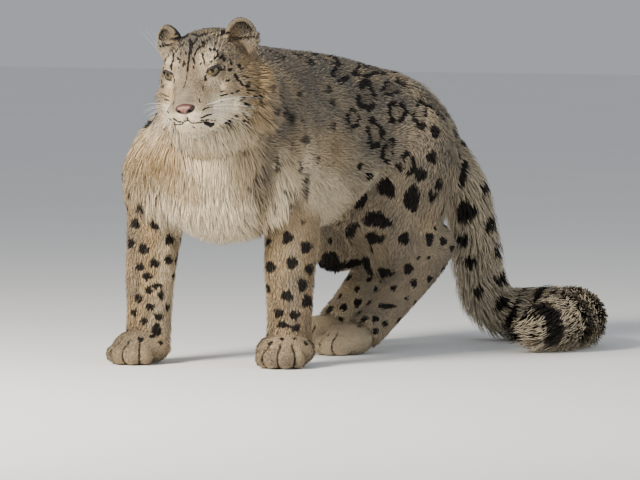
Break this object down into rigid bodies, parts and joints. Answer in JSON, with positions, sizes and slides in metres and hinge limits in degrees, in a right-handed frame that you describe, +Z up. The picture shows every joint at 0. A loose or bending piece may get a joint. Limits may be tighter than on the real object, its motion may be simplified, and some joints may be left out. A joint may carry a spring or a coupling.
{
  "type": "snow leopard",
  "caption": "Life-size still model of a standing snow leopard, its head turned aside and its long thick tail laid on the floor beside it.",
  "frame": {"origin": "middle of the whole body's box in plan, on the floor under the paws", "axes": "+Z up, -Y the way the animal stands facing, +X its left side"},
  "size_m": [0.6049, 1.1234, 0.6343],
  "materials": {
    "spotted_coat": "dense smoky grey fur with dark rosettes and spots",
    "pale_coat": "long cream-white fur of the throat and chest",
    "leg_coat": "short tan fur with solid dark spots",
    "tail_coat": "long pale grey fur with black rings",
    "eye": "glossy grey-green eye with a round dark pupil",
    "nose_leather": "moist pink nose leather with dark edges"
  },
  "bodies": {
    "root": {"head": "spotted_coat", "ear_left": "spotted_coat", "ear_right": "spotted_coat", "eye_left": "eye", "eye_right": "eye", "nose": "nose_leather", "neck": "pale_coat", "torso_front": "spotted_coat", "torso_rear": "spotted_coat", "foreleg_left": "leg_coat", "foreleg_right": "leg_coat", "forepaw_left": "leg_coat", "forepaw_right": "leg_coat", "hindleg_left": "spotted_coat", "hindleg_right": "spotted_coat", "hindpaw_left": "leg_coat", "hindpaw_right": "leg_coat", "tail_1": "tail_coat", "tail_2": "tail_coat", "tail_3": "tail_coat", "tail_4": "tail_coat"}
  },
  "joints": []
}
